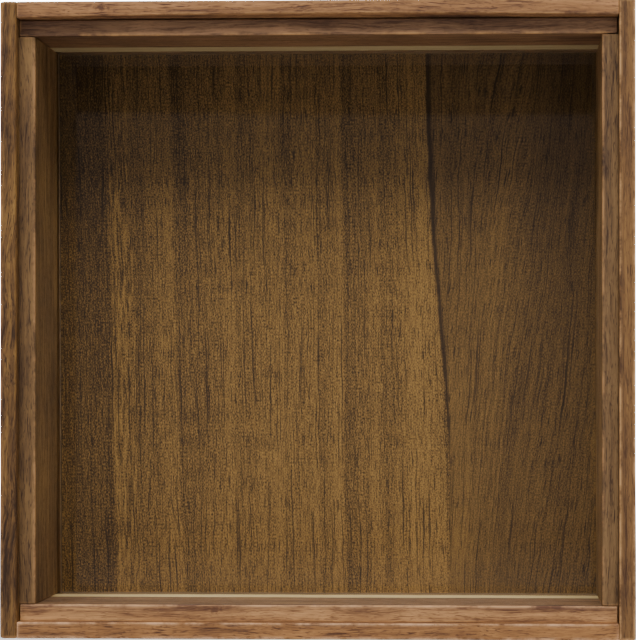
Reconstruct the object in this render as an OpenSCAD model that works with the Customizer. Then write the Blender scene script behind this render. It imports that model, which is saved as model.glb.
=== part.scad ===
// A square wooden shadow box. Four outer boards, butt-jointed and nailed, wrap four thinner
// liner boards that stand back from the front edge. A glass pane sits deep inside, in grooves
// that pale packing strips close from the front, and a veneered panel closes the back, in a
// rebate, under four turn buttons. The box stands on its bottom board or hangs on a wall.
// X is width, Y is depth with the front towards -Y, and Z is height. The origin is under the
// middle of the box.

/* [Case] */
// Width of the case
case_w = 230; // [200:1:300]
// Height of the case
case_h = 231; // [200:1:300]
// Depth of the outer boards from front to back
case_d = 58; // [56:1:80]
// Thickness of the outer boards
board_t = 6; // [5.5:0.5:9]
// Radius of the four outer corners of the case
corner_r = 1.2; // [0.5:0.1:2.5]

/* [Liner] */
// Thickness of the liner boards
liner_t = 6; // [5:0.5:9]
// Step from the front edge of the case back to the liner
recess_d = 5; // [3:0.5:7]
// How far the rebate for the back panel is cut into the liner
rebate_w = 3; // [2:0.5:4]

/* [Pane and packing strips] */
// Distance from the front of the liner to the packing strips
strip_setback = 30; // [15:1:30]
// Width of the packing strips, measured front to back
strip_w = 11; // [6:0.5:11]
// Depth of the grooves that hold the strips and the pane
groove_depth = 3; // [2:0.5:4]
// Thickness of the glass
glass_t = 2; // [1.8:0.1:2.2]
// Gap between each side of the glass and the side liner
pane_side_gap = 0.8; // [0.4:0.1:1.2]

/* [Back panel] */
// Thickness of the whole back panel
panel_t = 3; // [2.5:0.5:4]
// Thickness of the veneer on its front
veneer_t = 0.5; // [0.4:0.1:0.8]
// Gap all round the panel in its rebate
panel_gap = 0.3; // [0.2:0.1:0.6]

/* [Rear fittings] */
// Length of each turn button
button_l = 20; // [16:1:24]
// Width of each turn button
button_w = 7; // [6:0.5:8]
// Thickness of each turn button
button_t = 1.2; // [1:0.1:1.2]
// Height of the lower and upper turn buttons, as shares of the case height
button_heights = [0.27, 0.73];
// Length of the sawtooth hanger
hanger_l = 44; // [36:1:50]
// Width of the sawtooth hanger
hanger_w = 8; // [7:0.5:9]
// How far the middle of the hanger stands off the wood
hanger_raise = 1.5; // [1:0.1:2]
// Radius of the rubber bumpers
bumper_r = 3.2; // [2.5:0.1:3.4]
// Thickness of the rubber bumpers
bumper_t = 3; // [2.8:0.1:4]

/* [Hidden] */

$fn = 48;
front_y = -(case_d + bumper_t) / 2;
rear_y = front_y + case_d;
half_w = case_w / 2;
inner_half_w = half_w - board_t - liner_t;
wall_t = board_t + liner_t;

groove_front = recess_d + strip_setback;
pane_play = 0.1;
strip_play = 0.05;
pane_front = groove_front + strip_w + strip_play;
groove_rear = pane_front + glass_t + pane_play;
pane_edge_gap = 0.4;
panel_front = case_d - panel_t;

brad_r = 0.6;
brad_l = 18;
brad_sink = 0.3;
brad_edge = 12;

screw_r = 1.25;
screw_l = 12;
screw_head_r = 2.4;
screw_head_t = 1.3;
driver_slot_w = 0.6;
driver_slot_d = 0.6;
button_bore_r = 1.3;
button_lift = 0.1;
button_inset = (board_t + liner_t - rebate_w) / 2;

hanger_t = 0.8;
hanger_tab = 9;
hanger_jog = 1.6;
tooth_pitch = 3;
tooth_count = 7;
tooth_depth = 1.8;
nail_r = 0.7;
nail_l = 12;
nail_head_r = 1.7;
nail_head_t = 0.5;
nail_play = 0.05;
hanger_z = case_h - button_inset;

bumper_inset = 3.4;
bumper_chamfer = 0.6;

dark_wood = [0.42, 0.30, 0.19];
liner_wood = [0.38, 0.27, 0.18];
pale_wood = [0.74, 0.67, 0.53];
panel_wood = [0.42, 0.31, 0.18];
clear_glass = [0.85, 0.9, 0.92, 0.35];
brass = [0.72, 0.58, 0.32];
steel = [0.62, 0.63, 0.64];
rubber = [0.12, 0.12, 0.12];

// Stretches a flat outline drawn in width and height between two depths behind the front edge
module along_depth(from, to) {
    translate([0, front_y + to, 0])
        rotate([90, 0, 0])
            linear_extrude(height = to - from)
                children();
}

// A plain block between two corners given as width, depth behind the front edge, and height
module block(low, high) {
    translate([low.x, front_y + low.y, low.z])
        cube(high - low);
}

// Children, and the same again on the other side of the middle
module both_sides() {
    children();
    mirror([1, 0, 0]) children();
}

// Side board standing on the left, its two outer corners rounded
module side_board() {
    translate([-half_w, 0, 0])
        along_depth(0, case_d)
            union() {
                translate([0, corner_r])
                    square([board_t, case_h - 2 * corner_r]);
                translate([corner_r, 0])
                    square([board_t - corner_r, case_h]);
                for (z = [corner_r, case_h - corner_r])
                    translate([corner_r, z]) circle(r = corner_r);
            }
}

module left_board() {
    color(dark_wood) side_board();
}

module right_board() {
    color(dark_wood) mirror([1, 0, 0]) side_board();
}

// Board between the side boards, with its underside at height z
module cross_board(z) {
    block([-half_w + board_t, 0, z], [half_w - board_t, case_d, z + board_t]);
}

module top_board() {
    color(dark_wood) cross_board(case_h - board_t);
}

module bottom_board() {
    color(dark_wood) cross_board(0);
}

// Side liner on the left, between the top and bottom liners, rebated at the back
module side_liner() {
    difference() {
        block([-half_w + board_t, recess_d, wall_t], [-inner_half_w, case_d, case_h - wall_t]);
        block([-inner_half_w - rebate_w, panel_front, wall_t - 1],
              [-inner_half_w + 1, case_d + 1, case_h - wall_t + 1]);
    }
}

module left_liner() {
    color(liner_wood) side_liner();
}

module right_liner() {
    color(liner_wood) mirror([1, 0, 0]) side_liner();
}

// Lower liner, with the groove for the strip and the pane, and the rebate for the panel
module cross_liner() {
    difference() {
        block([-half_w + board_t, recess_d, board_t], [half_w - board_t, case_d, wall_t]);
        block([-half_w, groove_front, wall_t - groove_depth], [half_w, groove_rear, wall_t + 1]);
        block([-half_w, panel_front, wall_t - rebate_w], [half_w, case_d + 1, wall_t + 1]);
    }
}

// Turns a piece of the bottom of the case into the matching piece of the top
module at_top() {
    translate([0, 0, case_h]) mirror([0, 0, 1]) children();
}

module bottom_liner() {
    color(liner_wood) cross_liner();
}

module top_liner() {
    color(liner_wood) at_top() cross_liner();
}

// Pale strip that fills the groove in front of the pane, flush with the liner
module packing_strip() {
    block([-half_w + board_t + panel_gap, groove_front, wall_t - groove_depth],
          [half_w - board_t - panel_gap, groove_front + strip_w, wall_t]);
}

module bottom_packing_strip() {
    color(pale_wood) packing_strip();
}

module top_packing_strip() {
    color(pale_wood) at_top() packing_strip();
}

module glass_pane() {
    pane_low = wall_t - groove_depth + pane_edge_gap;
    color(clear_glass)
        block([-inner_half_w + pane_side_gap, pane_front, pane_low],
              [inner_half_w - pane_side_gap, pane_front + glass_t, case_h - pane_low]);
}

// One layer of the back panel, between two depths
module panel_layer(from, to) {
    edge = wall_t - rebate_w + panel_gap;
    block([-half_w + edge, from, edge], [half_w - edge, to, case_h - edge]);
}

module back_panel() {
    color(panel_wood) panel_layer(panel_front + veneer_t, case_d);
}

module panel_veneer() {
    color(panel_wood) panel_layer(panel_front, panel_front + veneer_t);
}

// Brads driven sideways through the side boards into the ends of the cross boards
module corner_brads() {
    color(steel)
        both_sides()
            for (z = [board_t / 2, case_h - board_t / 2], depth = [brad_edge, case_d - brad_edge])
                translate([-half_w + brad_sink, front_y + depth, z])
                    rotate([0, 90, 0])
                        cylinder(r = brad_r, h = brad_l);
}

// Turn button at the left edge, with its bore over the screw and its tip over the panel
module turn_button(height_share) {
    translate([-half_w + button_inset, rear_y + button_lift + button_t, case_h * height_share])
        rotate([90, 0, 0])
            difference() {
                union() {
                    cylinder(d = button_w, h = button_t);
                    translate([button_l - button_w, 0, 0])
                        cylinder(d = button_w, h = button_t);
                    translate([0, -button_w / 2, 0])
                        cube([button_l - button_w, button_w, button_t]);
                }
                translate([0, 0, -1])
                    cylinder(r = button_bore_r, h = button_t + 2);
            }
}

module lower_left_button() {
    color(brass) turn_button(button_heights[0]);
}

module upper_left_button() {
    color(brass) turn_button(button_heights[1]);
}

module lower_right_button() {
    color(brass) mirror([1, 0, 0]) turn_button(button_heights[0]);
}

module upper_right_button() {
    color(brass) mirror([1, 0, 0]) turn_button(button_heights[1]);
}

// Slotted screw pointing into the wood, its head just clear of the button
module button_screw() {
    head_from = 2 * button_lift + button_t;
    rotate([-90, 0, 0])
        difference() {
            union() {
                translate([0, 0, head_from - screw_l])
                    cylinder(r = screw_r, h = screw_l);
                translate([0, 0, head_from])
                    cylinder(r = screw_head_r, h = screw_head_t);
            }
            translate([-screw_head_r, -driver_slot_w / 2, head_from + screw_head_t - driver_slot_d])
                cube([2 * screw_head_r, driver_slot_w, driver_slot_d + 1]);
        }
}

module button_screws() {
    color(brass)
        both_sides()
            for (share = button_heights)
                translate([-half_w + button_inset, rear_y, case_h * share])
                    button_screw();
}

// Hanger seen from above: two tabs flat on the wood and a raised bridge between them
module hanger_outline() {
    half = hanger_l / 2;
    bend = half - hanger_tab;
    polygon([
        [-half, 0], [-bend, 0], [-bend + hanger_jog, hanger_raise],
        [bend - hanger_jog, hanger_raise], [bend, 0], [half, 0],
        [half, hanger_t], [bend, hanger_t], [bend - hanger_jog, hanger_raise + hanger_t],
        [-bend + hanger_jog, hanger_raise + hanger_t], [-bend, hanger_t], [-half, hanger_t]
    ]);
}

module sawtooth_hanger() {
    color(steel)
        translate([0, rear_y, hanger_z - hanger_w / 2])
            difference() {
                linear_extrude(height = hanger_w) hanger_outline();
                for (i = [0 : tooth_count - 1])
                    translate([(i - (tooth_count - 1) / 2) * tooth_pitch, hanger_raise + 2, 0])
                        rotate([90, 0, 0])
                            linear_extrude(height = 4)
                                polygon([[-tooth_pitch / 2, -1], [-tooth_pitch / 2, 0],
                                         [0, tooth_depth], [tooth_pitch / 2, 0],
                                         [tooth_pitch / 2, -1]]);
                both_sides() nail_hole();
            }
}

// Clearance hole for a nail in the left tab of the hanger
module nail_hole() {
    translate([-(hanger_l - hanger_tab) / 2, -1, hanger_w / 2])
        rotate([-90, 0, 0])
            cylinder(r = nail_r + nail_play, h = hanger_t + 2);
}

module hanger_nails() {
    color(steel)
        both_sides()
            translate([-(hanger_l - hanger_tab) / 2, rear_y + hanger_t, hanger_z])
                rotate([-90, 0, 0]) {
                    translate([0, 0, -nail_l]) cylinder(r = nail_r, h = nail_l);
                    cylinder(r = nail_head_r, h = nail_head_t);
                }
}

module rear_bumpers() {
    color(rubber)
        both_sides()
            translate([-half_w + bumper_inset, rear_y, bumper_inset])
                rotate([-90, 0, 0])
                    rotate_extrude()
                        polygon([
                            [0, 0], [bumper_r, 0], [bumper_r, bumper_t - bumper_chamfer],
                            [bumper_r - bumper_chamfer, bumper_t], [0, bumper_t]
                        ]);
}

left_board();
right_board();
top_board();
bottom_board();
left_liner();
right_liner();
top_liner();
bottom_liner();
top_packing_strip();
bottom_packing_strip();
glass_pane();
back_panel();
panel_veneer();
corner_brads();
lower_left_button();
upper_left_button();
lower_right_button();
upper_right_button();
button_screws();
sawtooth_hanger();
hanger_nails();
rear_bumpers();
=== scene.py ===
import math

import bmesh
import bpy
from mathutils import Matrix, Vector, noise


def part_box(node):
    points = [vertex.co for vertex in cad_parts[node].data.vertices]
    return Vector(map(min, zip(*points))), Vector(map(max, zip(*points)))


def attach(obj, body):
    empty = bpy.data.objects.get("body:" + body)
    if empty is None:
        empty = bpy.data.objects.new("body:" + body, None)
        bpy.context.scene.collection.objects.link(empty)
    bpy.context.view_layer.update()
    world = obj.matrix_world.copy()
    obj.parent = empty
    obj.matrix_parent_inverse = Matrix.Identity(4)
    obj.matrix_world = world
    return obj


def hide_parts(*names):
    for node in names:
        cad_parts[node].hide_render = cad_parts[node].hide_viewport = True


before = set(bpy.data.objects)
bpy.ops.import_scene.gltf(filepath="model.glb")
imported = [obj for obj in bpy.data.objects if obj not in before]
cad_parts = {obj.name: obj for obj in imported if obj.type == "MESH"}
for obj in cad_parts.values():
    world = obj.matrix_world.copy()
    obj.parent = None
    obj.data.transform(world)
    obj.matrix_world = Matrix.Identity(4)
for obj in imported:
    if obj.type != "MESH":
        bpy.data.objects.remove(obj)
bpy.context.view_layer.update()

CASE = "case"
MM = 0.001


# ---------------------------------------------------------------- places taken from the frame

def corners(node):
    low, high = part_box(node)
    return Vector(low), Vector(high)


LEFT, RIGHT = corners("left_board"), corners("right_board")
TOP, BOTTOM = corners("top_board"), corners("bottom_board")
LEFT_LINER, RIGHT_LINER = corners("left_liner"), corners("right_liner")
TOP_LINER, BOTTOM_LINER = corners("top_liner"), corners("bottom_liner")
TOP_STRIP, BOTTOM_STRIP = corners("top_packing_strip"), corners("bottom_packing_strip")
PANE, VENEER, PLY = corners("glass_pane"), corners("panel_veneer"), corners("back_panel")

FRONT_Y = LEFT[0].y
LEDGE_Y = TOP_LINER[0].y
CASE_TOP = LEFT[1].z
OPEN_RIGHT = RIGHT_LINER[0].x
OPEN_LOW, OPEN_HIGH = LEFT_LINER[0].z, LEFT_LINER[1].z


# ---------------------------------------------------------------- node building

class Nodes:
    """Short calls that add nodes to one tree and link them."""

    def __init__(self, tree):
        self.tree = tree

    def feed(self, socket, value):
        if isinstance(value, bpy.types.NodeSocket):
            self.tree.links.new(value, socket)
        else:
            socket.default_value = value

    def add(self, kind, sockets=(), **settings):
        node = self.tree.nodes.new(kind)
        for key, value in settings.items():
            setattr(node, key, value)
        for key, value in dict(sockets).items():
            self.feed(node.inputs[key], value)
        return node

    def math(self, operation, first, second=0.0, clamp=False):
        node = self.add("ShaderNodeMath", {0: first, 1: second}, operation=operation)
        node.use_clamp = clamp
        return node.outputs[0]

    def vector(self, operation, first, second=(0.0, 0.0, 0.0)):
        node = self.add("ShaderNodeVectorMath", {0: first, 1: second}, operation=operation)
        return node.outputs["Value" if operation == "LENGTH" else "Vector"]

    def mix(self, factor, first, second, blend="MIX"):
        node = self.add("ShaderNodeMix", {0: factor, 6: first, 7: second}, data_type="RGBA")
        node.blend_type = blend
        return node.outputs[2]

    def noise(self, vector, scale, detail=3.0, roughness=0.55):
        sockets = {"Vector": vector, "Scale": scale, "Detail": detail, "Roughness": roughness}
        return self.add("ShaderNodeTexNoise", sockets).outputs["Fac"]

    def noise_along(self, value, scale, detail=3.0):
        sockets = {"W": value, "Scale": scale, "Detail": detail}
        return self.add("ShaderNodeTexNoise", sockets, noise_dimensions="1D").outputs["Fac"]

    def rescale(self, value, low, high, to_low=0.0, to_high=1.0, smooth=False):
        node = self.add("ShaderNodeMapRange", {0: value, 1: low, 2: high, 3: to_low, 4: to_high})
        node.interpolation_type = "SMOOTHSTEP" if smooth else "LINEAR"
        return node.outputs[0]

    def curve(self, value, points, straight=False):
        node = self.add("ShaderNodeFloatCurve", {"Value": value})
        line = node.mapping.curves[0]
        for at, height in points[1:-1]:
            line.points.new(at, height)
        line.points[0].location = points[0]
        line.points[-1].location = points[-1]
        for point in line.points:
            point.handle_type = "VECTOR" if straight else "AUTO"
        node.mapping.update()
        return node.outputs[0]


def group(name, inputs, outputs):
    """A new shader node group, with its Nodes, its input node's sockets and its output node."""
    tree = bpy.data.node_groups.new(name, "ShaderNodeTree")
    kinds = {"vector": "NodeSocketVector", "value": "NodeSocketFloat", "colour": "NodeSocketColor"}
    for title, (kind, default) in inputs.items():
        socket = tree.interface.new_socket(title, in_out="INPUT", socket_type=kinds[kind])
        if default is not None:
            socket.default_value = default
    for title, kind in outputs.items():
        tree.interface.new_socket(title, in_out="OUTPUT", socket_type=kinds[kind])
    nodes = Nodes(tree)
    source = nodes.add("NodeGroupInput")
    target = nodes.add("NodeGroupOutput")
    return tree, nodes, source.outputs, target.inputs


def material(name):
    """A new material with its Nodes and its Principled shader."""
    made = bpy.data.materials.new(name)
    made.use_nodes = True
    return made, Nodes(made.node_tree), made.node_tree.nodes["Principled BSDF"]


def object_coordinates(nodes):
    return nodes.add("ShaderNodeTexCoord").outputs["Object"]


# ---------------------------------------------------------------- shared effects

def grain_group():
    """Solid wood. Its growth rings run round the Z axis, so long faces show streaks and
    cathedrals and cut ends show arcs. Vector is in millimetres, with Z along the grain."""
    tree, nodes, given, out = group("Wood Grain", {
        "Vector": ("vector", None),
        "Light": ("colour", (0.4, 0.25, 0.13, 1)),
        "Middle": ("colour", (0.25, 0.15, 0.08, 1)),
        "Dark": ("colour", (0.1, 0.05, 0.03, 1)),
        "Waviness": ("value", 6.0),
        "Ring Width": ("value", 5.0),
        "Contrast": ("value", 1.0),
        "Pores": ("value", 1.0),
    }, {"Color": "colour", "Height": "value", "Roughness": "value"})
    position = given["Vector"]
    slow = nodes.vector("MULTIPLY", position, (0.012, 0.012, 0.02))
    drift = nodes.add("ShaderNodeTexNoise", {"Vector": slow, "Scale": 1.0, "Detail": 2.0})
    drift = nodes.vector("SUBTRACT", drift.outputs["Color"], (0.5, 0.5, 0.5))
    drift = nodes.vector("MULTIPLY", drift, nodes.vector("MULTIPLY", (1, 1, 0), given["Waviness"]))
    bent = nodes.vector("ADD", position, drift)
    from_heart = nodes.vector("LENGTH", nodes.vector("MULTIPLY", bent, (1, 1, 0)))
    rings = nodes.noise_along(nodes.math("DIVIDE", from_heart, given["Ring Width"]), 1.0, 3.0)
    streaks = nodes.noise(nodes.vector("MULTIPLY", bent, (0.5, 0.5, 0.016)), 1.0, 4.0, 0.6)
    clouds = nodes.noise(nodes.vector("MULTIPLY", position, (0.05, 0.05, 0.03)), 1.0, 3.0, 0.6)
    fibres = nodes.noise(nodes.vector("MULTIPLY", bent, (2.4, 2.4, 0.16)), 1.0, 2.0, 0.6)
    tone = nodes.math("ADD", nodes.math("MULTIPLY", rings, 0.30), nodes.math("MULTIPLY", streaks, 0.40))
    tone = nodes.math("ADD", tone, nodes.math("MULTIPLY", clouds, 0.34))
    tone = nodes.math("ADD", tone, nodes.math("MULTIPLY", fibres, 0.30))
    tone = nodes.math("MULTIPLY", nodes.math("SUBTRACT", tone, 0.67), given["Contrast"])
    tone = nodes.math("ADD", tone, 0.5)
    shade = nodes.mix(nodes.rescale(tone, 0.34, 0.50), given["Dark"], given["Middle"])
    shade = nodes.mix(nodes.rescale(tone, 0.50, 0.64), shade, given["Light"])
    # short dark vessels, longer ones thin and short ones stout
    long_ones = nodes.noise(nodes.vector("MULTIPLY", bent, (2.2, 2.2, 0.1)), 1.0, 2.0, 0.5)
    short_ones = nodes.noise(nodes.vector("MULTIPLY", bent, (2.6, 2.6, 0.42)), 1.0, 1.0, 0.5)
    edge = nodes.rescale(streaks, 0.35, 0.65, 0.56, 0.63)
    long_ones = nodes.math("MULTIPLY", nodes.math("SUBTRACT", long_ones, edge), 14.0, clamp=True)
    short_ones = nodes.math("MULTIPLY", nodes.math("SUBTRACT", short_ones, edge), 10.0, clamp=True)
    pores = nodes.math("MAXIMUM", long_ones, nodes.math("MULTIPLY", short_ones, 0.7))
    pores = nodes.math("MULTIPLY", pores, given["Pores"], clamp=True)
    shade = nodes.mix(nodes.math("MULTIPLY", pores, 0.9), shade, given["Dark"])
    nodes.feed(out["Color"], shade)
    nodes.feed(out["Height"], nodes.math("SUBTRACT", nodes.math("MULTIPLY", fibres, 0.4), pores))
    rough = nodes.math("ADD", nodes.rescale(tone, 0.3, 0.7, 0.60, 0.48), nodes.math("MULTIPLY", pores, 0.25))
    nodes.feed(out["Roughness"], rough)
    return tree


# millimetres across the panel from its middle: the half span that the figure's tables cover, a
# rippled line, and the left edge of the right leaf
FIGURE_HALF = 110.0
RIDGES_AT = -78.5
RIGHT_LEAF_FROM = 45.5


def veneer_group():
    """Sliced veneer seen from the front. Vector is in millimetres, X across the panel from its
    middle and Z up from the bottom of the case. The tables above set how the
    grain leans and where its figure is light or dark."""
    tree, nodes, given, out = group("Veneer Figure", {
        "Vector": ("vector", None),
        "Light": ("colour", (0.25, 0.15, 0.07, 1)),
        "Dark": ("colour", (0.06, 0.035, 0.015, 1)),
        "Streak": ("colour", (0.03, 0.018, 0.01, 1)),
    }, {"Color": "colour", "Height": "value", "Roughness": "value"})
    split = nodes.add("ShaderNodeSeparateXYZ", {0: given["Vector"]}).outputs
    across, up = split["X"], split["Z"]
    slow = nodes.noise(nodes.vector("MULTIPLY", given["Vector"], (0.03, 0, 0.012)), 1.0, 2.0)
    ripple = nodes.noise(nodes.vector("MULTIPLY", given["Vector"], (0.12, 0, 0.05)), 1.0, 2.0)
    sway = nodes.math("MULTIPLY", nodes.math("SUBTRACT", slow, 0.5), 3.0)
    sway = nodes.math("ADD", sway, nodes.math("MULTIPLY", nodes.math("SUBTRACT", ripple, 0.5), 2.0))
    height = nodes.rescale(up, 0.0, CASE_TOP / MM)
    middle = nodes.rescale(nodes.curve(height, STREAK_PATH), 0.0, 1.0, 30.0, 60.0)
    ragged = nodes.noise(nodes.vector("MULTIPLY", given["Vector"], (0.25, 0, 0.06)), 1.0, 3.0)
    offset = nodes.math("SUBTRACT", across, middle)
    offset = nodes.math("SUBTRACT", offset, nodes.rescale(ragged, 0.3, 0.7, -0.5, 0.5))
    # the leaf right of the streak leans its own way
    share = nodes.rescale(across, -FIGURE_HALF, FIGURE_HALF)
    left_lean = nodes.curve(share, LEFT_LEAN, straight=True)
    right_lean = nodes.curve(share, RIGHT_LEAN, straight=True)
    on_right = nodes.rescale(offset, -0.2, 0.2)
    change = nodes.math("MULTIPLY", on_right, nodes.math("SUBTRACT", right_lean, left_lean))
    lean = nodes.math("ADD", left_lean, change)
    lean = nodes.math("MULTIPLY", nodes.math("SUBTRACT", lean, 0.5), 0.5)
    tilt = nodes.math("MULTIPLY", lean, nodes.math("SUBTRACT", up, 95.0))
    figure = nodes.math("ADD", nodes.math("ADD", across, tilt), sway)
    past_stripe = nodes.math("MAXIMUM", nodes.math("SUBTRACT", RIGHT_LEAF_FROM, figure), 0.0)
    banding = nodes.math("ADD", figure, nodes.math("MULTIPLY", on_right, past_stripe))
    bands = nodes.curve(nodes.rescale(banding, -FIGURE_HALF, FIGURE_HALF), FIGURE_BANDS, straight=True)
    flow = nodes.add("ShaderNodeCombineXYZ", {"X": figure, "Z": up}).outputs[0]
    streaks = nodes.noise(nodes.vector("MULTIPLY", flow, (0.7, 0, 0.008)), 1.0, 4.0, 0.65)
    fibres = nodes.noise(nodes.vector("MULTIPLY", flow, (2.3, 0, 0.18)), 1.0, 3.0, 0.7)
    speckle = nodes.noise(nodes.vector("MULTIPLY", flow, (2.6, 0, 1.3)), 1.0, 2.0, 0.6)
    clouds = nodes.noise(nodes.vector("MULTIPLY", flow, (0.06, 0, 0.02)), 1.0, 3.0)
    tone = nodes.math("ADD", bands, nodes.rescale(streaks, 0.3, 0.7, -0.2, 0.2))
    ridges = nodes.noise(nodes.vector("MULTIPLY", flow, (1.1, 0, 0.07)), 1.0, 2.0, 0.6)
    from_ridges = nodes.math("ABSOLUTE", nodes.math("SUBTRACT", figure, RIDGES_AT))
    at_ridges = nodes.math("SUBTRACT", 1.0, nodes.rescale(from_ridges, 3.0, 5.5))
    ridged = nodes.math("MULTIPLY", at_ridges, nodes.rescale(ridges, 0.35, 0.65, -0.45, 0.45))
    tone = nodes.math("ADD", tone, ridged)
    lively = nodes.math("SUBTRACT", 1.0, nodes.math("MULTIPLY", on_right, 0.5))
    fibre_fleck = nodes.rescale(fibres, 0.35, 0.65, -0.36, 0.36)
    fleck = nodes.math("ADD", fibre_fleck, nodes.rescale(speckle, 0.35, 0.65, -0.6, 0.6))
    tone = nodes.math("ADD", tone, nodes.math("MULTIPLY", fleck, lively))
    # painted light: the sheet is lightened towards its foot
    tone = nodes.math("ADD", tone, nodes.rescale(up, 0.0, 100.0, 0.2, 0.0))
    tone = nodes.math("ADD", tone, nodes.rescale(clouds, 0.3, 0.7, -0.08, 0.08))
    tone = nodes.math("MAXIMUM", nodes.math("MINIMUM", tone, 1.4), 0.0)
    shade = nodes.add("ShaderNodeMix", {0: tone, 6: given["Dark"], 7: given["Light"]},
                      data_type="RGBA")
    shade.clamp_factor = False
    shade = shade.outputs[2]
    vessel = nodes.noise(nodes.vector("MULTIPLY", flow, (1.6, 0, 0.016)), 1.0, 2.0, 0.55)
    fine = nodes.noise(nodes.vector("MULTIPLY", flow, (2.4, 0, 0.12)), 1.0, 1.0, 0.5)
    vessel = nodes.math("MULTIPLY", nodes.math("SUBTRACT", vessel, 0.585), 14.0, clamp=True)
    fine = nodes.math("MULTIPLY", nodes.math("SUBTRACT", fine, 0.59), 10.0, clamp=True)
    pores = nodes.math("MAXIMUM", vessel, fine)
    shade = nodes.mix(nodes.math("MULTIPLY", pores, 0.85), shade, given["Streak"])
    # the mineral streak wanders down the panel and thins out to a seam
    width = nodes.curve(height, STREAK_WIDTH)
    right_side = nodes.math("DIVIDE", offset, nodes.math("MULTIPLY", width, 4.0))
    left_side = nodes.math("DIVIDE", offset, nodes.math("MULTIPLY", width, -2.2))
    reach = nodes.math("MAXIMUM", right_side, left_side)
    streak = nodes.rescale(reach, 0.15, 1.0, 1.0, 0.0, smooth=True)
    streak = nodes.math("MULTIPLY", streak, nodes.rescale(width, 0.02, 0.3, 0.25, 0.84))
    shade = nodes.mix(streak, shade, given["Streak"])
    # pinhead specks of dust
    coarse = nodes.vector("MULTIPLY", given["Vector"], (0.1, 0.1, 0.1))
    cells = nodes.add("ShaderNodeTexVoronoi", {"Vector": coarse})
    speck = nodes.math("MULTIPLY", nodes.math("LESS_THAN", cells.outputs["Distance"], 0.03),
                       nodes.math("GREATER_THAN", cells.outputs["Color"], 0.55))
    shade = nodes.mix(nodes.math("MULTIPLY", speck, 0.7), shade, (0.55, 0.45, 0.32, 1))
    # painted shadow: the sheet is darkened towards its head, where the top board's shadow falls on it
    shade = nodes.mix(nodes.rescale(up, 170.0, 219.0, 0.0, 0.42), shade, (0.014, 0.004, 0.0, 1))
    nodes.feed(out["Color"], shade)
    nodes.feed(out["Height"], nodes.math("SUBTRACT", nodes.math("MULTIPLY", fibres, 0.7), pores))
    nodes.feed(out["Roughness"], nodes.rescale(tone, 0.0, 1.0, 0.55, 0.45))
    return tree


def knot_group():
    """A pin knot: an oval dark heart in a softer ring. Vector and Place are in metres."""
    tree, nodes, given, out = group("Pin Knot", {
        "Vector": ("vector", None),
        "Place": ("vector", None),
        "Color": ("colour", (0.3, 0.2, 0.1, 1)),
        "Heart": ("colour", (0.05, 0.03, 0.02, 1)),
        "Strength": ("value", 1.0),
    }, {"Color": "colour"})
    offset = nodes.vector("SUBTRACT", given["Vector"], given["Place"])
    ragged = nodes.noise(nodes.vector("MULTIPLY", given["Vector"], (900, 900, 900)), 1.0, 2.0)
    reach = nodes.vector("LENGTH", nodes.vector("MULTIPLY", offset, (420, 150, 700)))
    reach = nodes.math("ADD", reach, nodes.rescale(ragged, 0.3, 0.7, -0.45, 0.45))
    mask = nodes.rescale(reach, 0.35, 1.25, 0.85, 0.0, smooth=True)
    cover = nodes.math("MULTIPLY", mask, given["Strength"])
    nodes.feed(out["Color"], nodes.mix(cover, given["Color"], given["Heart"]))
    return tree


def wear_group():
    """Arrises rubbed pale: the mesh says where the arrises are, and noise breaks them up."""
    tree, nodes, given, out = group("Edge Wear", {
        "Vector": ("vector", None),
        "Color": ("colour", (0.3, 0.2, 0.1, 1)),
        "Worn": ("colour", (0.5, 0.36, 0.22, 1)),
        "Edge": ("value", 0.0),
        "Amount": ("value", 0.8),
        "Roughness": ("value", 0.5),
    }, {"Color": "colour", "Roughness": "value"})
    patches = nodes.noise(given["Vector"], 70.0, 5.0, 0.7)
    rub = nodes.math("MULTIPLY", given["Edge"], nodes.rescale(patches, 0.42, 0.58))
    rub = nodes.math("MULTIPLY", rub, given["Amount"], clamp=True)
    nodes.feed(out["Color"], nodes.mix(rub, given["Color"], given["Worn"]))
    nodes.feed(out["Roughness"], nodes.math("ADD", given["Roughness"], nodes.math("MULTIPLY", rub, 0.15)))
    return tree


def metal_group():
    """Small stamped fittings: brushing lines and dull patches."""
    tree, nodes, given, out = group("Stamped Metal", {
        "Vector": ("vector", None),
        "Bright": ("colour", (0.7, 0.7, 0.7, 1)),
        "Dull": ("colour", (0.4, 0.4, 0.4, 1)),
        "Roughness": ("value", 0.35),
    }, {"Color": "colour", "Roughness": "value", "Height": "value"})
    lines = nodes.noise(nodes.vector("MULTIPLY", given["Vector"], (0.06, 1, 1)), 5200.0, 2.0, 0.6)
    patches = nodes.noise(given["Vector"], 160.0, 5.0, 0.6)
    dull = nodes.rescale(patches, 0.4, 0.75, 0.0, 0.8)
    nodes.feed(out["Color"], nodes.mix(dull, given["Bright"], given["Dull"]))
    rough = nodes.math("ADD", given["Roughness"], nodes.math("MULTIPLY", dull, 0.25))
    nodes.feed(out["Roughness"], nodes.math("ADD", rough, nodes.math("MULTIPLY", lines, 0.08)))
    nodes.feed(out["Height"], nodes.math("ADD", lines, nodes.math("MULTIPLY", patches, 0.5)))
    return tree


def share_of_panel(across):
    return (across + 110.0) / 220.0


# Across the panel in millimetres from its middle: lean of the grain, and tone from dark to light.
LEFT_LEAN = [(share_of_panel(x), 0.5 + lean) for x, lean in (
    (-110, 0.06), (-57, 0.06), (-30, 0.03), (0, 0.02), (40, 0.04), (60, 0.10), (110, 0.10))]
RIGHT_LEAN = [(share_of_panel(x), 0.5 + lean) for x, lean in (
    (-110, -0.04), (40, -0.04), (58, -0.14), (78, -0.30), (95, -0.22), (110, -0.12))]
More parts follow.
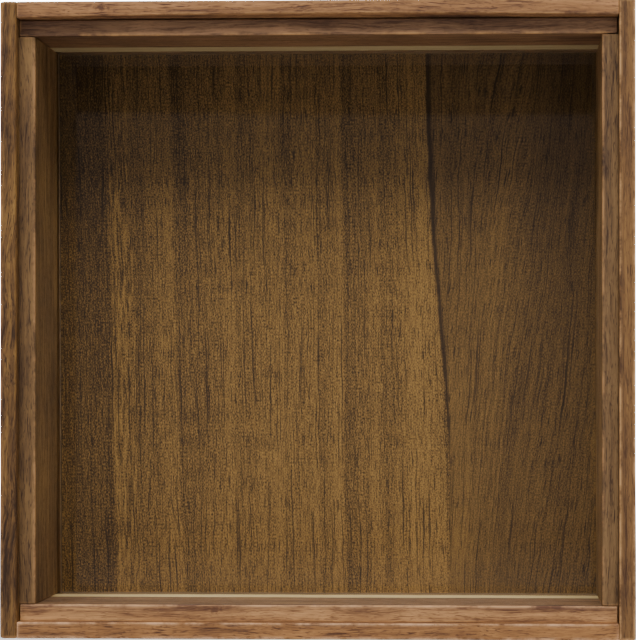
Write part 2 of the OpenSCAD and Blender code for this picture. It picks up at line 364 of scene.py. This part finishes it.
# Each stripe starts at a place across the panel, dark at its left edge and paler to the right.
STRIPES = ((-110, 0.32, 0.20), (-82.5, 0.64, 0.62), (-73.5, 0.40, 0.68), (-57.5, 0.34, 0.70),
           (-34, 0.50, 0.76), (-16.5, 0.54, 0.76), (-3.5, 0.50, 0.80), (6.5, 0.38, 0.70),
           (21.5, 0.48, 0.84), (33.5, 0.86, 0.76), (44.5, 0.44, 0.46), (62, 0.42, 0.30),
           (74, 0.27, 0.36))
STEP = 0.7
FIGURE_BANDS = []
for stripe, after in zip(STRIPES, STRIPES[1:] + ((110.7, 0, 0),)):
    FIGURE_BANDS.append((share_of_panel(stripe[0]), stripe[1]))
    FIGURE_BANDS.append((share_of_panel(after[0] - STEP), stripe[2]))
# Up the case as a share of its height: the streak's place and its width.
STREAK_PATH = [(0.0, 0.57), (0.27, 0.57), (0.45, 0.48), (0.62, 0.37), (0.78, 0.31), (1.0, 0.27)]
STREAK_WIDTH = [(0.0, 0.03), (0.24, 0.06), (0.34, 0.28), (0.5, 0.42), (0.75, 0.5), (1.0, 0.42)]

GRAIN, WEAR, METAL, FIGURE = grain_group(), wear_group(), metal_group(), veneer_group()
KNOT = knot_group()


# ---------------------------------------------------------------- wood materials

def wood(name, light, middle, dark, worn, place, along="z", ring_width=5.0, contrast=1.0,
         pores=1.0, wear=0.6, bump=0.35, waviness=6.0, lean=0.0, painted_light_and_shade_inside=(1, 1, 1),
         knot=None, painted_shadow_height=None):
    """Oiled wood. place is where in the log the board was cut, in millimetres from the heart, and
    painted_light_and_shade_inside multiplies the colour of the faces behind the front ledge: painted light
    and shade, lighter on the side walls and darker on the top and bottom walls.
    painted_shadow_height is a height at which a painted shadow darkens the corner under the top board."""
    made, nodes, shader = material(name)
    position = object_coordinates(nodes)
    turn = (0, math.pi / 2 if along == "x" else lean, 0)
    placed = nodes.add("ShaderNodeMapping", {"Vector": position, "Location": place, "Rotation": turn,
                                             "Scale": (1000, 1000, 1000)}).outputs["Vector"]
    grain = nodes.add("ShaderNodeGroup", node_tree=GRAIN)
    for key, value in (("Vector", placed), ("Light", light), ("Middle", middle), ("Dark", dark),
                       ("Waviness", waviness), ("Ring Width", ring_width), ("Contrast", contrast),
                       ("Pores", pores)):
        nodes.feed(grain.inputs[key], value)
    # painted light and shade: faces behind the front ledge are multiplied by a per-board factor, lightening
    # the side walls and darkening the top and bottom walls
    depth = nodes.add("ShaderNodeSeparateXYZ", {0: position}).outputs["Y"]
    behind = nodes.rescale(depth, LEDGE_Y + 0.3 * MM, LEDGE_Y + 1.2 * MM)
    colour_with_painted_shading = nodes.mix(behind, grain.outputs["Color"], (*painted_light_and_shade_inside, 1), "MULTIPLY")
    # painted shadow: the colour goes towards the dark tone near a set height, in the corner shaded by the
    # top board
    if painted_shadow_height:
        height = nodes.add("ShaderNodeSeparateXYZ", {0: position}).outputs["Z"]
        from_corner = nodes.math("ABSOLUTE", nodes.math("SUBTRACT", height, painted_shadow_height))
        painted_shadow = nodes.rescale(from_corner, 0.3 * MM, 3.2 * MM, 0.45, 0.0)
        colour_with_painted_shading = nodes.mix(painted_shadow, colour_with_painted_shading, dark)
    if knot:
        heart = nodes.add("ShaderNodeGroup", node_tree=KNOT)
        for key, value in (("Vector", position), ("Place", knot), ("Color", colour_with_painted_shading), ("Heart", dark)):
            nodes.feed(heart.inputs[key], value)
        colour_with_painted_shading = heart.outputs["Color"]
    edge = nodes.add("ShaderNodeAttribute", attribute_name="arris").outputs["Fac"]
    rubbed = nodes.add("ShaderNodeGroup", node_tree=WEAR)
    for key, value in (("Vector", position), ("Color", colour_with_painted_shading), ("Worn", worn),
                       ("Edge", edge), ("Amount", wear), ("Roughness", grain.outputs["Roughness"])):
        nodes.feed(rubbed.inputs[key], value)
    relief = nodes.add("ShaderNodeBump", {"Height": grain.outputs["Height"], "Strength": bump,
                                          "Distance": 0.0003})
    nodes.feed(shader.inputs["Base Color"], rubbed.outputs["Color"])
    nodes.feed(shader.inputs["Roughness"], rubbed.outputs["Roughness"])
    nodes.feed(shader.inputs["Normal"], relief.outputs["Normal"])
    shader.inputs["Specular IOR Level"].default_value = 0.35
    return made


def veneer(name, light, dark, streak):
    made, nodes, shader = material(name)
    millimetres = nodes.vector("MULTIPLY", object_coordinates(nodes), (1000, 1000, 1000))
    figure = nodes.add("ShaderNodeGroup", node_tree=FIGURE)
    for key, value in (("Vector", millimetres), ("Light", light), ("Dark", dark), ("Streak", streak)):
        nodes.feed(figure.inputs[key], value)
    relief = nodes.add("ShaderNodeBump", {"Height": figure.outputs["Height"], "Strength": 0.2,
                                          "Distance": 0.0002})
    nodes.feed(shader.inputs["Base Color"], figure.outputs["Color"])
    nodes.feed(shader.inputs["Roughness"], figure.outputs["Roughness"])
    nodes.feed(shader.inputs["Normal"], relief.outputs["Normal"])
    shader.inputs["Specular IOR Level"].default_value = 0.3
    return made


def rgb(red, green, blue):
    """A colour as a screen shows it, from 0 to 255, as the linear light that nodes take."""
    def linear(value):
        value = value / 255
        return value / 12.92 if value <= 0.04045 else ((value + 0.055) / 1.055) ** 2.4
    return (linear(red), linear(green), linear(blue), 1.0)


WORN = rgb(186, 138, 88)
BOARD_WOODS = {
    "left_board": wood("left board wood", rgb(148, 110, 57), rgb(114, 80, 42), rgb(58, 37, 22),
                       WORN, (210, 60, 0), waviness=9.0, contrast=1.2, lean=-0.06),
    "right_board": wood("right board wood", rgb(150, 110, 62), rgb(124, 88, 50), rgb(68, 42, 28),
                        rgb(198, 150, 98), (-170, 50, 400), contrast=0.9, waviness=3.0, pores=0.8,
                        wear=0.9),
    "top_board": wood("top board wood", rgb(182, 130, 84), rgb(151, 106, 65), rgb(80, 48, 33),
                      WORN, (30, 90, 900), along="x", knot=(-78 * MM, FRONT_Y, CASE_TOP - 2.4 * MM)),
    "bottom_board": wood("bottom board wood", rgb(186, 133, 79), rgb(150, 103, 60), rgb(76, 45, 30),
                         rgb(216, 168, 126), (60, 120, 1300), along="x", wear=0.9),
}
# the factors for the faces behind the ledge are painted light and shade, and the top liner's set height
# carries a painted shadow under the top board
LINER_WOODS = {
    "left_liner": wood("left liner wood", rgb(136, 103, 62), rgb(110, 81, 49), rgb(58, 38, 26),
                       WORN, (220, 100, 2000), contrast=0.9, painted_light_and_shade_inside=(1.42, 1.45, 1.3)),
    "right_liner": wood("right liner wood", rgb(142, 109, 70), rgb(116, 87, 55), rgb(60, 40, 29),
                        WORN, (-200, 80, 2400), contrast=1.1, painted_light_and_shade_inside=(1.68, 1.68, 1.48)),
    "top_liner": wood("top liner wood", rgb(168, 124, 88), rgb(140, 103, 72), rgb(78, 50, 35),
                      WORN, (50, 100, 2800), along="x", painted_light_and_shade_inside=(0.8, 0.76, 0.66), wear=0.9,
                      painted_shadow_height=TOP_LINER[1].z, pores=0.6),
    "bottom_liner": wood("bottom liner wood", rgb(212, 160, 106), rgb(182, 134, 87), rgb(100, 64, 44),
                         rgb(216, 168, 122), (90, 110, 3200), along="x", painted_light_and_shade_inside=(0.41, 0.41, 0.42),
                         pores=0.8, knot=(-37 * MM, LEDGE_Y, OPEN_LOW - 1.8 * MM)),
}
# painted shade: the top strip is given darker colours than the bottom one, though both are the same pale
# wood
STRIP_WOODS = {
    "top_packing_strip": wood("top packing strip wood", rgb(198, 176, 128), rgb(184, 160, 114),
                              rgb(150, 124, 84), rgb(206, 188, 144), (100, 120, 3600), along="x",
                              contrast=0.7, pores=0.2),
    "bottom_packing_strip": wood("bottom packing strip wood", rgb(216, 192, 136), rgb(208, 182, 126),
                                 rgb(186, 156, 106), rgb(228, 206, 156), (140, 90, 3800), along="x",
                                 contrast=0.7, pores=0.2),
}
PLY_WOOD = wood("plywood rear face", rgb(176, 138, 96), rgb(156, 118, 78), rgb(108, 76, 50),
                rgb(186, 152, 112), (300, 20, 4000), ring_width=9.0, contrast=0.8, pores=0.5)
VENEER_WOOD = veneer("panel veneer", rgb(152, 113, 59), rgb(60, 38, 15), rgb(40, 22, 12))


def glass():
    made, nodes, shader = material("clear glass")
    smears = nodes.noise(object_coordinates(nodes), 35.0, 4.0, 0.6)
    nodes.feed(shader.inputs["Roughness"], nodes.rescale(smears, 0.4, 0.8, 0.0, 0.012))
    shader.inputs["Base Color"].default_value = (0.97, 0.985, 0.98, 1)
    shader.inputs["Transmission Weight"].default_value = 1.0
    shader.inputs["IOR"].default_value = 1.5
    through = nodes.add("ShaderNodeBsdfTransparent", {"Color": (0.94, 0.955, 0.95, 1)})
    path = nodes.add("ShaderNodeLightPath").outputs
    passing = nodes.math("MAXIMUM", path["Is Shadow Ray"], path["Is Diffuse Ray"])
    either = nodes.add("ShaderNodeMixShader", {0: passing, 1: shader.outputs[0], 2: through.outputs[0]})
    output = made.node_tree.nodes["Material Output"]
    nodes.feed(output.inputs["Surface"], either.outputs[0])
    return made


def metal(name, bright, dull, roughness):
    made, nodes, shader = material(name)
    stamped = nodes.add("ShaderNodeGroup", node_tree=METAL)
    for key, value in (("Vector", object_coordinates(nodes)), ("Bright", bright), ("Dull", dull),
                       ("Roughness", roughness)):
        nodes.feed(stamped.inputs[key], value)
    relief = nodes.add("ShaderNodeBump", {"Height": stamped.outputs["Height"], "Strength": 0.2,
                                          "Distance": 0.00005})
    nodes.feed(shader.inputs["Base Color"], stamped.outputs["Color"])
    nodes.feed(shader.inputs["Roughness"], stamped.outputs["Roughness"])
    nodes.feed(shader.inputs["Normal"], relief.outputs["Normal"])
    shader.inputs["Metallic"].default_value = 1.0
    return made


def rubber():
    made, nodes, shader = material("matt rubber")
    dust = nodes.noise(object_coordinates(nodes), 900.0, 4.0, 0.7)
    shade = nodes.mix(nodes.rescale(dust, 0.45, 0.75), (0.018, 0.018, 0.018, 1), (0.06, 0.058, 0.055, 1))
    relief = nodes.add("ShaderNodeBump", {"Height": dust, "Strength": 0.3, "Distance": 0.0001})
    nodes.feed(shader.inputs["Base Color"], shade)
    nodes.feed(shader.inputs["Roughness"], nodes.rescale(dust, 0.3, 0.7, 0.7, 0.9))
    nodes.feed(shader.inputs["Normal"], relief.outputs["Normal"])
    return made


def ground_glass():
    """A cut glass edge rubbed matt, paler where the stone bit deeper."""
    made, nodes, shader = material("ground glass edge")
    rubbed = nodes.noise(nodes.vector("MULTIPLY", object_coordinates(nodes), (1, 1, 0.3)), 1500.0, 4.0, 0.7)
    nodes.feed(shader.inputs["Base Color"],
               nodes.mix(nodes.rescale(rubbed, 0.35, 0.7), rgb(84, 62, 38), rgb(140, 112, 78)))
    nodes.feed(shader.inputs["Roughness"], nodes.rescale(rubbed, 0.3, 0.7, 0.5, 0.8))
    relief = nodes.add("ShaderNodeBump", {"Height": rubbed, "Strength": 0.4, "Distance": 0.0001})
    nodes.feed(shader.inputs["Normal"], relief.outputs["Normal"])
    return made


GLASS = glass()
GROUND_GLASS = ground_glass()
BRASS = metal("plated brass", rgb(214, 178, 106), rgb(150, 118, 66), 0.28)
STEEL = metal("zinc steel", rgb(196, 198, 200), rgb(140, 142, 146), 0.34)
RUBBER = rubber()


# ---------------------------------------------------------------- planks

ARC_STEPS = 4
GRID = 6 * MM
FADE = (0.25 * MM, 0.9 * MM)
HIDDEN = 0.05 * MM
GROUND_EDGE = 0.35 * MM
EASED = 1.1 * MM


def divided(start, end):
    """Distances along a straight run from start to end, close together near both ends."""
    length = end - start
    marks = [start]
    if length > 2.2 * FADE[1]:
        marks += [start + FADE[0], start + FADE[1]]
        count = max(1, round((length - 2 * FADE[1]) / GRID))
        step = (length - 2 * FADE[1]) / count
        marks += [start + FADE[1] + step * i for i in range(1, count)]
        marks += [end - FADE[1], end - FADE[0]]
    return marks + [end]


def edge_share(mark, start, end):
    """1 at either end of a run, 0.45 a little way in, and 0 past the faded zone."""
    near = min(mark - start, end - mark)
    if near < FADE[0] * 0.5:
        return 1.0
    return 0.45 if near < FADE[1] * 0.5 else 0.0


def rounded_outline(points, radius):
    """Points round a closed outline of square corners, as (position, outward normal, arris share).
    Outer corners become arcs and inner corners stay sharp. The points run anticlockwise, and one
    with a third number has that radius of its own."""
    outline = []
    count = len(points)
    corner = [Vector(p[:2]) for p in points]
    radii = [p[2] if len(p) > 2 else radius for p in points]
    ways = [(corner[(i + 1) % count] - corner[i]).normalized() for i in range(count)]
    turns = [ways[i - 1].x * ways[i].y - ways[i - 1].y * ways[i].x > 0 for i in range(count)]
    for i in range(count):
        back, ahead = -ways[i - 1], ways[i]
        if turns[i]:
            for k in range(ARC_STEPS + 1):
                angle = math.pi / 2 * k / ARC_STEPS
                inner = corner[i] + (back + ahead) * radii[i]
                normal = -(back * math.sin(angle) + ahead * math.cos(angle))
                outline.append((inner + normal * radii[i], normal, 1.0 if radii[i] == radius else 0.0))
        else:
            outline.append((corner[i], -(back + ahead) * -1.0, 0.0))
        begin = radii[i] if turns[i] else 0.0
        after = (i + 1) % count
        end = (corner[after] - corner[i]).length - (radii[after] if turns[after] else 0.0)
        side = Vector((ahead.y, -ahead.x))
        for mark in divided(begin, end)[1:-1]:
            share = edge_share(mark, begin, end)
            nearest = i if mark < (begin + end) / 2 else after
            if not turns[nearest] or radii[nearest] != radius:
                share = 0.0
            outline.append((corner[i] + ahead * mark, side, share))
    return outline


def stations(start, end, radius):
    """(place, inset, arris share) along a plank, with both ends rounded over."""
    arc = [math.pi / 2 * k / ARC_STEPS for k in range(ARC_STEPS + 1)]
    first = [(start + radius * (1 - math.cos(a)), radius * (1 - math.sin(a)), 1.0) for a in arc]
    last = [(end - radius * (1 - math.cos(a)), radius * (1 - math.sin(a)), 1.0) for a in reversed(arc)]
    begin, stop = start + radius, end - radius
    middle = [(m, 0.0, edge_share(m, begin, stop)) for m in divided(begin, stop)[1:-1]]
    return first + middle + last


def plank(name, node, slot, wood_material, points, along, span, radius=0.5 * MM, wave=0.07 * MM,
          seed=0.0, shape=None, end_radius=None):
    """A sawn and sanded board: a rounded outline swept along one axis, its faces a little uneven.
    points are (x, y) for a board along z, and (z, y) for a board along x."""
    outline = rounded_outline(points, radius)
    rows = stations(span[0], span[1], end_radius or radius)
    mesh = bmesh.new()
    arris = mesh.verts.layers.float.new("arris")
    shift = Vector((seed * 7.3, seed * 3.1, seed * 5.7))
    rings = []
    for place, inset, end_share in rows:
        ring = []
        for position, normal, share in outline:
            flat = position - normal * inset
            if along == "z":
                spot, out = Vector((flat.x, flat.y, place)), Vector((normal.x, normal.y, 0))
            else:
                spot, out = Vector((place, flat.y, flat.x)), Vector((0, normal.y, normal.x))
            worn = max(share, end_share)
            dip = wave * (0.5 + 0.5 * noise.noise(spot * 28 + shift))
            dip += worn * 0.07 * MM * max(0.0, noise.noise(spot * 160 + shift))
            spot -= out * dip
            if shape:
                spot = shape(spot)
            vertex = mesh.verts.new(spot)
            vertex[arris] = worn
            ring.append(vertex)
        rings.append(ring)
    size = len(outline)
    for one, two in zip(rings, rings[1:]):
        for i in range(size):
            mesh.faces.new((one[i], one[(i + 1) % size], two[(i + 1) % size], two[i]))
    mesh.faces.new(rings[0])
    mesh.faces.new(rings[-1])
    bmesh.ops.recalc_face_normals(mesh, faces=mesh.faces)
    for face in mesh.faces:
        face.smooth = len(face.verts) == 4
    return finish_piece(name, mesh, wood_material, slot, node)


def finish_piece(name, mesh, made_of, slot, *nodes):
    data = bpy.data.meshes.new(name)
    mesh.to_mesh(data)
    mesh.free()
    data.materials.append(made_of)
    piece = bpy.data.objects.new(name, data)
    bpy.context.scene.collection.objects.link(piece)
    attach(piece, CASE)
    if nodes:
        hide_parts(*nodes)
    return piece


def rectangle(low, high):
    return [(low[0], low[1]), (high[0], low[1]), (high[0], high[1]), (low[0], high[1])]


def outer_corner(outer_x, radius=1.4 * MM):
    """Rounds the top and bottom outer corners of a side board, seen from the front."""
    inward = 1 if outer_x < 0 else -1

    def shape(spot):
        across = radius - (spot.x - outer_x) * inward
        for end, way in ((0.0, 1), (CASE_TOP, -1)):
            along = radius - (spot.z - end) * way
            reach = math.hypot(across, along)
            if across > 0 and along > 0 and reach > radius:
                spot.x = outer_x + inward * (radius - across * radius / reach)
                spot.z = end + way * (radius - along * radius / reach)
        return spot
    return shape


def bowed_front(spot):
    """The top board's lower front edge is sanded hollow, most in the middle."""
    low, high = TOP
    middle = 1 - (abs(spot.x) / high.x) ** 2
    near_front = max(0.0, 1 - (spot.y - low.y) / (LEDGE_Y - low.y))
    near_under = 1 - (spot.z - low.z) / (high.z - low.z)
    spot.z += 1.1 * MM * middle * near_front * near_under
    return spot


def case_boards():
    for name, (low, high) in (("left_board", LEFT), ("right_board", RIGHT)):
        outer = low.x if low.x < 0 else high.x
        points = rectangle(low.xy, high.xy)
        if outer < 0:
            points[1] = (*points[1], EASED)
        plank(name + "_wood", name, "case_wood", BOARD_WOODS[name], points, "z", (low.z, high.z),
              seed=low.x * 100, shape=outer_corner(outer))
    for name, (low, high), shape in (("top_board", TOP, bowed_front), ("bottom_board", BOTTOM, None)):
        plank(name + "_wood", name, "case_wood", BOARD_WOODS[name],
              rectangle((low.z, low.y), (high.z, high.y)), "x", (low.x, high.x),
              seed=low.z * 10 + 1, shape=shape)


def liners():
    rebate_y, rebate_x = VENEER[0].y, OPEN_RIGHT + (VENEER[1].x - OPEN_RIGHT) + 0.3 * MM
    for name, (low, high), way in (("left_liner", LEFT_LINER, -1), ("right_liner", RIGHT_LINER, 1)):
        inner, outer, step = (OPEN_RIGHT, high.x if way > 0 else -low.x, rebate_x)
        points = [(inner * way, low.y), (outer * way, low.y, HIDDEN), (outer * way, high.y, HIDDEN),
                  (step * way, high.y), (step * way, rebate_y), (inner * way, rebate_y)]
        if way < 0:
            points.reverse()
        plank(name + "_wood", name, "liner_wood", LINER_WOODS[name], points, "z",
              (low.z + 0.1 * MM, high.z - 0.25 * MM), seed=2 + way, radius=0.6 * MM, end_radius=0.3 * MM)
    groove_y = (BOTTOM_STRIP[0].y, PANE[1].y + 0.1 * MM)
    for name, (low, high), way, gaps in (
            ("bottom_liner", BOTTOM_LINER, 1, (0.3 * MM, 0.35 * MM)),
            ("top_liner", TOP_LINER, -1, (0.1 * MM, 0.4 * MM))):
        face = OPEN_LOW if way > 0 else OPEN_HIGH
        back = low.z if way > 0 else high.z
        groove = BOTTOM_STRIP[0].z if way > 0 else TOP_STRIP[1].z
        step = face - way * (OPEN_LOW - VENEER[0].z + 0.3 * MM)
        back_round = HIDDEN if way > 0 else 0.7 * MM
        points = [(back, low.y, back_round), (face, low.y), (face, groove_y[0], HIDDEN),
                  (groove, groove_y[0]), (groove, groove_y[1]), (face, groove_y[1], HIDDEN),
                  (face, rebate_y, HIDDEN), (step, rebate_y), (step, high.y), (back, high.y, HIDDEN)]
        if way < 0:
            points.reverse()
        plank(name + "_wood", name, "liner_wood", LINER_WOODS[name], points, "x",
              (low.x + gaps[0], high.x - gaps[1]), seed=5 + way, radius=0.6 * MM, wave=0.06 * MM,
              end_radius=0.3 * MM)


def packing_strips():
    for name, (low, high) in (("top_packing_strip", TOP_STRIP), ("bottom_packing_strip", BOTTOM_STRIP)):
        plank(name + "_wood", name, "pale_wood", STRIP_WOODS[name],
              rectangle((low.z, low.y), (high.z, high.y)), "x", (low.x, high.x),
              radius=0.15 * MM, wave=0.03 * MM, seed=low.z * 20)


def panel():
    low, high = VENEER
    plank("veneer_face", "panel_veneer", "panel_veneer", VENEER_WOOD, rectangle(low.xy, high.xy),
          "z", (low.z, high.z), radius=0.1 * MM, wave=0.02 * MM, seed=11)
    low, high = PLY
    plank("plywood_back", "back_panel", "plywood", PLY_WOOD, rectangle(low.xy, high.xy),
          "z", (low.z, high.z), radius=0.2 * MM, wave=0.05 * MM, seed=13)


def pane():
    """Cut glass, a little out of square in its opening, with its left edge ground pale."""
    low, high = PANE
    middle_z = (low.z + high.z) / 2

    def askew(spot):
        spot.x += 0.2 * MM + 0.0045 * (middle_z - spot.z)
        return spot
    ground = low.x + GROUND_EDGE
    plank("pane_glass", "glass_pane", "glass", GLASS, rectangle((ground, low.y), high.xy), "z",
          (low.z, high.z), radius=0.15 * MM, wave=0.0, seed=17, shape=askew)
    plank("pane_ground_edge", "glass_pane", "glass", GROUND_GLASS,
          rectangle(low.xy, (ground, high.y)), "z", (low.z, high.z), radius=0.1 * MM, wave=0.0,
          seed=18, shape=askew)


def fittings():
    """CAD fittings keep their shape, with softened edges and real metal or rubber."""
    made_of = {"corner_brads": STEEL, "button_screws": BRASS, "sawtooth_hanger": STEEL,
               "hanger_nails": STEEL, "rear_bumpers": RUBBER}
    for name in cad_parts:
        if name.endswith("_button"):
            made_of[name] = BRASS
    for name, metal_material in made_of.items():
        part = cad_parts[name]
        part.data.materials.clear()
        part.data.materials.append(metal_material)
        soften = part.modifiers.new("soft edges", "BEVEL")
        soften.width = 0.15 * MM
        soften.segments = 2
        soften.limit_method = "ANGLE"
        soften.angle_limit = math.radians(40)


# ---------------------------------------------------------------- studio

KEY_WATTS = 118.0
FILL_WATTS = 10.0
BACKDROP_GLOW = 14.0
# directions as the upward or rearward part of a unit vector, each from start to end of its change
LOW_BAND = (-0.070, -0.092)
DARK_ABOVE = (0.1125, 0.1145)
BRIGHT_BEHIND = (0.05, 0.3)


def area_light(name, place, target, size, power, colour=(1, 1, 1), shine=True):
    lamp = bpy.data.lights.new(name, "AREA")
    lamp.shape = "RECTANGLE"
    lamp.size, lamp.size_y = size
    lamp.energy = power
    lamp.color = colour
    light = bpy.data.objects.new(name, lamp)
    light.location = place
    light.rotation_euler = (Vector(target) - Vector(place)).to_track_quat("-Z", "Y").to_euler()
    light.visible_glossy = shine
    light.visible_transmission = shine
    bpy.context.scene.collection.objects.link(light)
    return light


def studio():
    middle = Vector((0, FRONT_Y, CASE_TOP / 2))
    key_height, key_reach = math.radians(56), 3.0
    key_place = middle + key_reach * Vector((0, -math.cos(key_height), math.sin(key_height)))
    area_light("key softbox", key_place, middle, (3.2, 1.2), KEY_WATTS)
    area_light("rear fill", (0.2, 1.5, 0.9), middle, (1.2, 1.2), FILL_WATTS, shine=False)


def surroundings():
    """Pale to the eye and a soft even fill on the wood. In mirrors it is a dim room in front,
    lighter towards the floor and black well above the horizon, and a bright one behind."""
    world = bpy.data.worlds.new("studio")
    world.use_nodes = True
    nodes = Nodes(world.node_tree)
    path = nodes.add("ShaderNodeLightPath").outputs
    way = nodes.add("ShaderNodeTexCoord").outputs["Generated"]
    split = nodes.add("ShaderNodeSeparateXYZ", {0: way}).outputs
    low = nodes.rescale(split["Z"], *LOW_BAND)
    above = nodes.rescale(split["Z"], *DARK_ABOVE)
    behind = nodes.rescale(split["Y"], *BRIGHT_BEHIND)
    mirrored = nodes.mix(low, (0.12, 0.095, 0.08, 1), (0.22, 0.20, 0.20, 1))
    mirrored = nodes.mix(above, mirrored, (0.0, 0.0, 0.0, 1))
    mirrored = nodes.mix(behind, mirrored, (0.8, 0.8, 0.82, 1))
    through_glass = nodes.math("MAXIMUM", path["Is Glossy Ray"], path["Is Transmission Ray"])
    shade = nodes.mix(through_glass, (0.17, 0.17, 0.18, 1), mirrored)
    shade = nodes.mix(path["Is Camera Ray"], shade, (BACKDROP_GLOW, BACKDROP_GLOW, BACKDROP_GLOW, 1))
    backdrop = world.node_tree.nodes["Background"]
    nodes.feed(backdrop.inputs["Color"], shade)
    bpy.context.scene.world = world


def floor():
    mesh = bmesh.new()
    bmesh.ops.create_grid(mesh, x_segments=1, y_segments=1, size=15.0)
    data = bpy.data.meshes.new("floor")
    mesh.to_mesh(data)
    mesh.free()
    made, nodes, shader = material("pale floor")
    mottle = nodes.noise(object_coordinates(nodes), 3.0, 3.0)
    nodes.feed(shader.inputs["Base Color"],
               nodes.mix(mottle, (0.78, 0.78, 0.78, 1), (0.84, 0.84, 0.835, 1)))
    seen = nodes.add("ShaderNodeLightPath").outputs["Is Camera Ray"]
    away = nodes.vector("LENGTH", object_coordinates(nodes))
    glow = nodes.rescale(away, 0.3, 1.6, 0.5, BACKDROP_GLOW, smooth=True)
    nodes.feed(shader.inputs["Emission Strength"], nodes.math("MULTIPLY", seen, glow))
    shader.inputs["Emission Color"].default_value = (1, 1, 1, 1)
    shader.inputs["Roughness"].default_value = 0.7
    data.materials.append(made)
    ground = bpy.data.objects.new("floor", data)
    ground.visible_glossy = False
    ground.visible_transmission = False
    bpy.context.scene.collection.objects.link(ground)


def camera():
    """Looks at the open front from a little right of and below its middle."""
    distance, to_right, below = 0.832, 0.065, 0.0215
    yaw = math.radians(2.04)
    lens = bpy.data.cameras.new("camera")
    lens.lens = 130.0
    lens.shift_x, lens.shift_y = -0.1505, 0.0925
    view = bpy.data.objects.new("camera", lens)
    view.location = (to_right, FRONT_Y - distance, CASE_TOP / 2 - below)
    view.rotation_euler = (math.pi / 2, 0, yaw)
    bpy.context.scene.collection.objects.link(view)
    bpy.context.scene.camera = view


case_boards()
liners()
packing_strips()
panel()
pane()
fittings()
studio()
surroundings()
floor()
camera()
